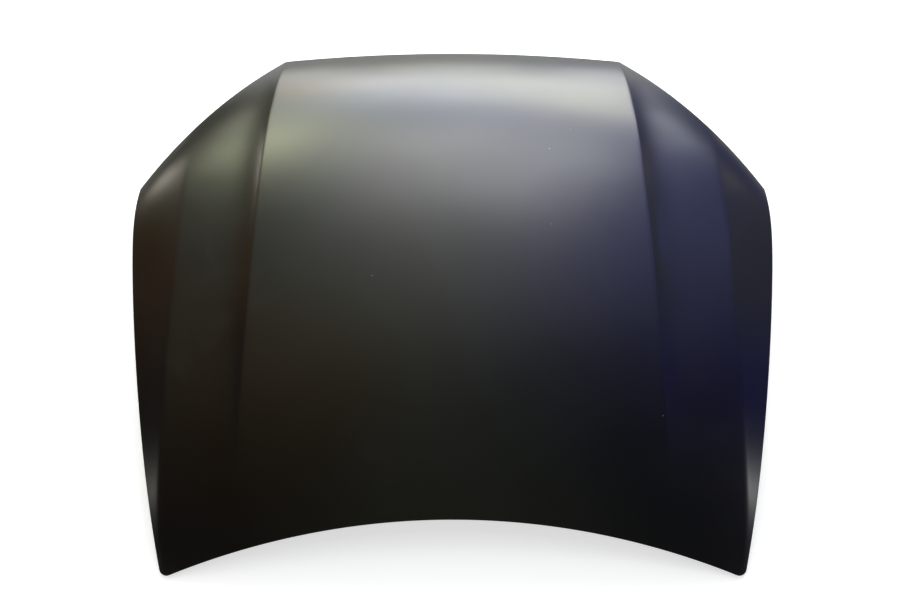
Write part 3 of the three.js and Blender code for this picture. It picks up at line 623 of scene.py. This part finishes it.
def primer_material(name, finish, roughness, dust, peel):
    """Satin black primer: a faint cloudiness in colour and sheen, orange peel, and specks and
    slightly rougher smudges of dust."""
    material, tree, shader, where = new_material(name, roughness, specular=1.0)
    dusty = add_node(tree, "ShaderNodeGroup", (-900, -250), node_tree=dust_group(),
                     links=[("Vector", where)])
    clouds = add_node(tree, "ShaderNodeTexNoise", (-900, 250),
                      [("Vector", where), ("Scale", 5.5), ("Detail", 5.0)]).outputs["Fac"]
    cloudy = mix_colours(tree, (-600, 300), clouds, opaque(finish.primer_colour),
                         opaque(finish.primer_colour, CLOUD_FACTOR, CLOUD_LIFT))
    specks, smudges = dusty.outputs["Specks"], dusty.outputs["Smudges"]
    speck_share = calculate(tree, (-600, 0), "MULTIPLY", specks, SPECK_SHARE * dust)
    smudge_share = calculate(tree, (-600, -180), "MULTIPLY", smudges, SMUDGE_SHARE * dust)
    both = calculate(tree, (-400, -60), "MAXIMUM", speck_share, smudge_share)
    colour = mix_colours(tree, (-200, 200), both, cloudy, opaque(finish.dust_colour))
    tree.links.new(colour, shader.inputs["Base Color"])
    rough = add_node(tree, "ShaderNodeMapRange", (-600, -380),
                     [("Value", clouds), ("From Min", 0.3), ("From Max", 0.7),
                      ("To Min", roughness - CLOUD_ROUGHNESS),
                      ("To Max", roughness + CLOUD_ROUGHNESS)])
    rougher = calculate(tree, (-200, -300), "MULTIPLY_ADD",
                        smudges, SMUDGE_ROUGHNESS * dust, rough.outputs["Result"])
    tree.links.new(rougher, shader.inputs["Roughness"])
    grain = add_node(tree, "ShaderNodeGroup", (-600, -620), node_tree=peel_group(),
                     links=[("Vector", where)])
    bump = add_node(tree, "ShaderNodeBump", (-200, -560),
                    [("Height", grain.outputs["Height"]), ("Strength", peel),
                     ("Distance", PEEL_DEPTH)])
    tree.links.new(bump.outputs["Normal"], shader.inputs["Normal"])
    return material


# How much darker and paler the blotches of the mastic are
MASTIC_DARKER = 0.7
MASTIC_PALER = 1.25


def mastic_material(finish):
    """Grey sealing mastic: matt, lumpy and a little blotched."""
    material, tree, shader, where = new_material("sealing mastic", 0.85, specular=0.3)
    blotches = add_node(tree, "ShaderNodeTexNoise", (-900, 200),
                        [("Vector", where), ("Scale", 60.0), ("Detail", 6.0)]).outputs["Fac"]
    colour = mix_colours(tree, (-500, 200), blotches, opaque(finish.mastic_colour, MASTIC_DARKER),
                         opaque(finish.mastic_colour, MASTIC_PALER))
    tree.links.new(colour, shader.inputs["Base Color"])
    bump = add_node(tree, "ShaderNodeBump", (-300, -300),
                    [("Height", blotches), ("Strength", 0.6), ("Distance", 0.002)])
    tree.links.new(bump.outputs["Normal"], shader.inputs["Normal"])
    return material


def dress(node, material):
    """Gives a CAD node one material, in its object's slots."""
    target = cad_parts[node]
    if not target.material_slots:
        target.data.materials.append(material)
    for slot in target.material_slots:
        slot.link = "OBJECT"
        slot.material = material


# Sizes and colours a user may change


class BonnetSizes(PropertyGroup):
    crease_radius: FloatProperty(
        name="Crease rounding", description="How softly the sharp fold lines turn",
        default=0.0011, min=0.0003, max=0.02, subtype="DISTANCE", unit="LENGTH")
    rear_radius: FloatProperty(
        name="Rear corner radius", description="Radius of the two corners at the windscreen",
        default=0.015, min=0.004, max=0.04, subtype="DISTANCE", unit="LENGTH")
    grille_radius: FloatProperty(
        name="Grille corner radius",
        description="Radius of the two corners between grille and headlights",
        default=0.022, min=0.004, max=0.06, subtype="DISTANCE", unit="LENGTH")
    crown_columns: IntProperty(
        name="Crown lines", description="Lines from the middle to the fold",
        default=40, min=8, max=80)
    shoulder_columns: IntProperty(
        name="Shoulder lines", description="Lines from the fold to the side",
        default=66, min=8, max=80)
    rows: IntProperty(
        name="Lines along", description="Lines from the nose to the windscreen edge",
        default=180, min=20, max=220)


class BonnetFinish(PropertyGroup):
    primer_colour: FloatVectorProperty(
        name="Primer", description="Colour of the satin black primer",
        default=(0.0022, 0.0022, 0.0021), min=0, max=1, subtype="COLOR")
    dust_colour: FloatVectorProperty(
        name="Dust", description="Colour of the dust specks and smudges",
        default=(0.42, 0.40, 0.36), min=0, max=1, subtype="COLOR")
    mastic_colour: FloatVectorProperty(
        name="Mastic", description="Colour of the sealing mastic",
        default=(0.09, 0.092, 0.098), min=0, max=1, subtype="COLOR")
    primer_roughness: FloatProperty(
        name="Primer roughness", description="Roughness of the outer primer",
        default=0.30, min=0, max=1)
    inner_roughness: FloatProperty(
        name="Inner roughness", description="Roughness of the primer inside",
        default=0.5, min=0, max=1)


class BonnetStudio(PropertyGroup):
    lean: FloatProperty(
        name="Camera lean", description="Angle of the camera from straight above, towards the nose",
        default=math.radians(10), subtype="ANGLE", unit="ROTATION")
    distance: FloatProperty(
        name="Camera distance", description="From the camera to the middle of the bonnet",
        default=2.778, min=1, max=10, subtype="DISTANCE", unit="LENGTH")
    lens: FloatProperty(
        name="Lens", description="Focal length in millimetres", default=50.0, min=20, max=200)
    light_level: FloatProperty(
        name="Light level", description="Factor on the brightness of every soft box",
        default=1.0, min=0, max=10)


# Operators, one for each piece or group of pieces


class BONNET_OT_outer_skin(Operator):
    """Make the outer skin with its hem, in satin black primer"""

    bl_idname = "bonnet.outer_skin"
    bl_label = "Outer skin"

    def execute(self, context):
        sizes, finish = context.scene.bonnet_sizes, context.scene.bonnet_finish
        grid = PanelGrid(sizes.crown_columns, sizes.shoulder_columns, sizes.rows,
                         sizes.grille_radius * MILLIMETRES, sizes.rear_radius * MILLIMETRES)
        points, faces = skin_surface(grid, sizes.crease_radius * MILLIMETRES)
        skin = make_mesh("bonnet_skin", to_frame(points), faces)
        skin.data.materials.append(primer_material(
            "outer primer", finish, finish.primer_roughness, dust=1.0, peel=0.10))
        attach(skin, "root")
        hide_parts("outer_skin")
        return {"FINISHED"}


class BONNET_OT_inner_frame(Operator):
    """Prime the inner frame"""

    bl_idname = "bonnet.inner_frame"
    bl_label = "Inner frame"

    def execute(self, context):
        finish = context.scene.bonnet_finish
        dress("inner_frame", primer_material(
            "inner primer", finish, finish.inner_roughness, dust=0.6, peel=0.2))
        return {"FINISHED"}


# First words of the fittings' names, and how much less rough their primer is than the frame's
FITTINGS = ("latch", "palm", "striker", "hinge")
FITTING_SMOOTHER = 0.06


class BONNET_OT_fittings(Operator):
    """Prime the reinforcements, the hinge nuts and the striker"""

    bl_idname = "bonnet.fittings"
    bl_label = "Fittings"

    def execute(self, context):
        finish = context.scene.bonnet_finish
        roughness = finish.inner_roughness - FITTING_SMOOTHER
        material = primer_material("fitting primer", finish, roughness, dust=0.4, peel=0.3)
        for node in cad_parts:
            if node.startswith(FITTINGS):
                dress(node, material)
        return {"FINISHED"}


class BONNET_OT_mastic(Operator):
    """Give the mastic pads their grey"""

    bl_idname = "bonnet.mastic"
    bl_label = "Mastic"

    def execute(self, context):
        material = mastic_material(context.scene.bonnet_finish)
        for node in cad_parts:
            if node.startswith("mastic"):
                dress(node, material)
        return {"FINISHED"}


STUDIO_MIDDLE = Vector((0, 0, 0.08))
FLOOR_REACH = 14.0
# Two greys the floor's paint runs between, and its glow: half as strong within the first distance
# of the middle and full beyond the second
FLOOR_GREYS = (0.80, 0.82)
FLOOR_GLOW_NEAR = 1.3
FLOOR_GLOW_FAR = 3.2
FLOOR_GLOW_LEAST = 0.5


def direction(from_top, from_nose):
    """Unit vector at an angle from straight up, turned from the nose towards +X."""
    level = math.sin(from_top)
    return Vector((level * math.sin(from_nose), -level * math.cos(from_nose), math.cos(from_top)))


def add_soft_box(name, away, width, depth, brightness, level):
    """A soft box on the dome, away from the middle and facing it, unseen by the camera."""
    lamp = bpy.data.lights.new(name, "AREA")
    lamp.shape = "RECTANGLE"
    lamp.size, lamp.size_y = width, depth
    lamp.energy = math.pi * width * depth * max(brightness) * level
    lamp.color = [channel / max(brightness) for channel in brightness]
    holder = bpy.data.objects.new(name, lamp)
    place = STUDIO_MIDDLE + away * DOME_RADIUS
    holder.location = place
    holder.rotation_euler = (STUDIO_MIDDLE - place).to_track_quat("-Z", "Y").to_euler()
    holder.visible_camera = False
    bpy.context.scene.collection.objects.link(holder)


# Soft boxes on a dome round the bonnet, closest together in front of the nose, and small ones
# beside it: angle from overhead and turn from the nose towards +X in degrees, width, depth, and
# brightness in red, green and blue
DOME_RADIUS = 2.6
STUDIO_LIGHTS = (
    (26, -24, 0.45, 0.40, (4.3, 4.4, 4.6)),
    (26, 0, 0.45, 0.40, (3.6, 3.6, 3.8)),
    (26, 24, 0.45, 0.40, (2.2, 2.2, 2.4)),
    (37, -32, 0.45, 0.45, (5.0, 5.1, 4.9)),
    (37, -16, 0.45, 0.45, (3.6, 3.7, 4.0)),
    (37, 0, 0.45, 0.45, (5.4, 5.4, 5.5)),
    (37, 16, 0.45, 0.45, (4.9, 4.9, 4.9)),
    (37, 32, 0.45, 0.45, (1.7, 1.9, 1.9)),
    (48, -40, 0.45, 0.45, (0.7, 0.6, 1.2)),
    (48, -27, 0.45, 0.45, (2.3, 2.6, 2.0)),
    (48, -14, 0.45, 0.45, (3.0, 3.1, 4.0)),
    (48, 0, 0.45, 0.45, (2.4, 3.0, 4.2)),
    (48, 14, 0.45, 0.45, (2.0, 2.5, 3.2)),
    (48, 27, 0.45, 0.45, (4.3, 4.2, 3.0)),
    (48, 40, 0.45, 0.45, (10.0, 10.6, 6.9)),
    (59, -36, 0.45, 0.45, (6.3, 6.6, 6.9)),
    (59, -24, 0.45, 0.45, (10.4, 10.1, 8.0)),
    (59, -12, 0.45, 0.45, (8.2, 8.6, 7.9)),
    (59, 0, 0.45, 0.45, (8.2, 8.5, 9.2)),
    (59, 12, 0.45, 0.45, (5.7, 6.2, 7.6)),
    (59, 24, 0.45, 0.45, (4.0, 4.6, 4.4)),
    (59, 36, 0.45, 0.45, (4.5, 4.5, 3.4)),
    (70, -24, 0.50, 0.45, (9.8, 10.4, 9.0)),
    (70, -12, 0.50, 0.45, (10.6, 10.5, 9.3)),
    (70, 0, 0.50, 0.45, (9.4, 9.8, 10.0)),
    (70, 12, 0.50, 0.45, (10.8, 10.8, 10.9)),
    (70, 24, 0.50, 0.45, (6.0, 5.2, 4.0)),
    (81, -22, 0.80, 0.40, (8.2, 8.2, 8.0)),
    (81, 0, 0.90, 0.40, (6.5, 6.6, 6.4)),
    (81, 22, 0.80, 0.40, (7.2, 7.2, 7.0)),
    (72, 63, 0.25, 0.25, (16.0, 14.8, 12.8)),
    (64, 56, 0.25, 0.25, (3.5, 3.4, 2.8)),
    (66, -62, 0.25, 0.25, (1.5, 1.3, 0.5)),
    (50, -75, 0.25, 0.25, (0.4, 0.5, 2.5)),
    (74, 123, 0.18, 0.20, (5.0, 4.9, 4.2)),
    (72, -124, 0.18, 0.24, (12.0, 12.0, 11.7)),
)


def floor_material():
    """Pale floor: lit paint that keeps the shadow, plus white towards the camera and in
    reflections, full away from the bonnet and half near it."""
    material, tree, shader, where = new_material("pale floor", 0.9, specular=0.0)
    mottle = add_node(tree, "ShaderNodeTexNoise", (-900, 200),
                      [("Vector", where), ("Scale", 3.0), ("Detail", 2.0)])
    darker, paler = [opaque([grey] * 3) for grey in FLOOR_GREYS]
    colour = mix_colours(tree, (-500, 200), mottle.outputs["Fac"], darker, paler)
    tree.links.new(colour, shader.inputs["Base Color"])
    path = add_node(tree, "ShaderNodeLightPath", (-900, -300)).outputs
    seen = calculate(tree, (-650, -300), "MAXIMUM", path["Is Camera Ray"], path["Is Glossy Ray"])
    also = calculate(tree, (-480, -300), "MAXIMUM", seen, path["Is Transmission Ray"])
    away = add_node(tree, "ShaderNodeVectorMath", (-900, -550), [(0, where)], operation="LENGTH")
    level = add_node(tree, "ShaderNodeMapRange", (-650, -550), interpolation_type="SMOOTHSTEP",
                     links=[("Value", away.outputs["Value"]), ("From Min", FLOOR_GLOW_NEAR),
                            ("From Max", FLOOR_GLOW_FAR), ("To Min", FLOOR_GLOW_LEAST),
                            ("To Max", 1.0)])
    share = calculate(tree, (-300, -300), "MULTIPLY", also, level.outputs["Result"])
    glow = add_node(tree, "ShaderNodeEmission", (-100, -300), [("Strength", share)])
    total = add_node(tree, "ShaderNodeAddShader", (350, 0),
                     [(0, shader.outputs["BSDF"]), (1, glow.outputs["Emission"])])
    tree.links.new(total.outputs[0], tree.nodes["Material Output"].inputs["Surface"])
    return material


def set_ramp(ramp, stops):
    """Sets a colour ramp's stops from (place, colour) pairs."""
    while len(ramp.elements) < len(stops):
        ramp.elements.new(0.5)
    for element, (place, colour) in zip(ramp.elements, stops):
        element.position = place
        element.color = opaque(colour)


# Room brightness in reflections by how far back it is, one run for each step across, from -X to +X
ROOM_STOPS = (0.0, 0.29, 0.50, 0.71, 1.0)
ROOM = (
    ((0.13, 0.15, 0.49), (0.19, 0.21, 0.15), (0.0, 0.0, 0.35), (0.0, 0.0, 0.08), (0.0, 0.0, 0.0)),
    ((0.13, 0.20, 1.20), (0.25, 0.26, 1.00), (0.01, 0.01, 0.12), (0.0, 0.0, 0.02), (0.0, 0.0, 0.0)),
    ((0.80, 0.75, 0.40), (0.85, 0.90, 0.70), (0.17, 0.20, 0.14), (0.09, 0.12, 0.08),
     (0.12, 0.13, 0.07)),
    ((0.02, 0.02, 0.0), (0.15, 0.22, 0.20), (0.30, 0.18, 0.02), (0.10, 0.04, 0.0), (0.0, 0.0, 0.0)),
    ((0.08, 0.09, 0.0), (0.20, 0.07, 0.0), (0.01, 0.0, 0.0), (0.01, 0.0, 0.0), (0.0, 0.0, 0.0)),
)
ROOM_STEP = 0.31
ROOM_FRONT = -0.4
ROOM_BACK = 0.8
# The room as it lights matt surfaces, and as the camera sees it
ROOM_FILL = (0.3, 0.3, 0.3)
ROOM_SEEN = (1.0, 1.0, 1.0)


def studio_world():
    """A dim room: white to the camera, darker towards the back and the sides in reflections."""
    world = bpy.data.worlds.new("studio")
    world.use_nodes = True
    tree = world.node_tree
    place = add_node(tree, "ShaderNodeTexCoord", (-1200, 0))
    parts = add_node(tree, "ShaderNodeSeparateXYZ", (-1000, 0),
                     [("Vector", place.outputs["Generated"])]).outputs
    back_way = add_node(tree, "ShaderNodeMapRange", (-800, -300),
                        [("Value", parts["Y"]), ("From Min", ROOM_FRONT), ("From Max", ROOM_BACK)])
    room = None
    for index, tones in enumerate(ROOM):
        ramp = add_node(tree, "ShaderNodeValToRGB", (-550, -300 * index),
                        [("Fac", back_way.outputs["Result"])])
        set_ramp(ramp.color_ramp, list(zip(ROOM_STOPS, tones)))
        tone = ramp.outputs["Color"]
        if room is None:
            room = tone
            continue
        across = index - len(ROOM) // 2
        reach = add_node(tree, "ShaderNodeMapRange", (-800, 300 * index),
                         [("Value", parts["X"]), ("From Min", ROOM_STEP * (across - 1)),
                          ("From Max", ROOM_STEP * across)])
        room = mix_colours(tree, (-400 + 200 * index, 0), reach.outputs["Result"], room, tone)
    path = add_node(tree, "ShaderNodeLightPath", (-200, -500)).outputs
    lit = mix_colours(tree, (600, 0), path["Is Diffuse Ray"], room, opaque(ROOM_FILL))
    seen = mix_colours(tree, (800, 0), path["Is Camera Ray"], lit, opaque(ROOM_SEEN))
    background = tree.nodes["Background"]
    background.location = (1000, 0)
    tree.nodes["World Output"].location = (1200, 0)
    tree.links.new(seen, background.inputs["Color"])
    return world


CAMERA_TARGET = Vector((-0.0164, -0.0527, 0.08))
SENSOR_WIDTH = 36.0
CAMERA_REACH = 100


def add_camera(scene, studio):
    """The camera above the bonnet, leaning towards the nose, which is at the top of the view."""
    lens = bpy.data.cameras.new("camera")
    lens.lens = studio.lens
    lens.sensor_width = SENSOR_WIDTH
    lens.sensor_fit = "HORIZONTAL"
    lens.clip_end = CAMERA_REACH
    lens.dof.use_dof = False
    camera = bpy.data.objects.new("camera", lens)
    scene.collection.objects.link(camera)
    back = direction(studio.lean, 0)
    right = Vector((-1, 0, 0))
    axes = Matrix((right, back.cross(right), back)).transposed().to_4x4()
    camera.matrix_world = Matrix.Translation(CAMERA_TARGET + back * studio.distance) @ axes
    scene.camera = camera


class BONNET_OT_studio(Operator):
    """Lay the floor and set the lights, the world and the camera"""

    bl_idname = "bonnet.studio"
    bl_label = "Studio"

    def execute(self, context):
        scene, studio = context.scene, context.scene.bonnet_studio
        corners = np.array([(-1, -1, 0), (1, -1, 0), (1, 1, 0), (-1, 1, 0)]) * FLOOR_REACH
        floor = make_mesh("floor", corners, [(0, 1, 2, 3)])
        floor.data.materials.append(floor_material())
        for number, (from_top, from_nose, width, depth, brightness) in enumerate(STUDIO_LIGHTS):
            away = direction(math.radians(from_top), math.radians(from_nose))
            add_soft_box(f"soft_box_{number}", away, width, depth, brightness, studio.light_level)
        scene.world = studio_world()
        add_camera(scene, studio)
        scene.view_settings.view_transform = "Standard"
        return {"FINISHED"}


class BONNET_PT_pieces(Panel):
    """The bonnet's pieces and settings"""

    bl_idname = "BONNET_PT_pieces"
    bl_label = "Bonnet"
    bl_space_type = "VIEW_3D"
    bl_region_type = "UI"
    bl_category = "Bonnet"

    def draw(self, context):
        for group in GROUPS:
            settings = getattr(context.scene, group)
            box = self.layout.box()
            for name in settings.__annotations__:
                box.prop(settings, name)
        for operator in OPERATORS:
            self.layout.operator(operator.bl_idname)


OPERATORS = (
    BONNET_OT_outer_skin,
    BONNET_OT_inner_frame,
    BONNET_OT_fittings,
    BONNET_OT_mastic,
    BONNET_OT_studio,
)
GROUPS = {"bonnet_sizes": BonnetSizes, "bonnet_finish": BonnetFinish, "bonnet_studio": BonnetStudio}


def register():
    for cls in (*GROUPS.values(), *OPERATORS, BONNET_PT_pieces):
        bpy.utils.register_class(cls)
    for name, cls in GROUPS.items():
        setattr(bpy.types.Scene, name, PointerProperty(type=cls))


def unregister():
    for name in GROUPS:
        delattr(bpy.types.Scene, name)
    for cls in (BONNET_PT_pieces, *reversed(OPERATORS), *GROUPS.values()):
        bpy.utils.unregister_class(cls)


def main():
    register()
    bpy.ops.bonnet.outer_skin()
    bpy.ops.bonnet.inner_frame()
    bpy.ops.bonnet.fittings()
    bpy.ops.bonnet.mastic()
    bpy.ops.bonnet.studio()


if __name__ == "__main__":
    main()
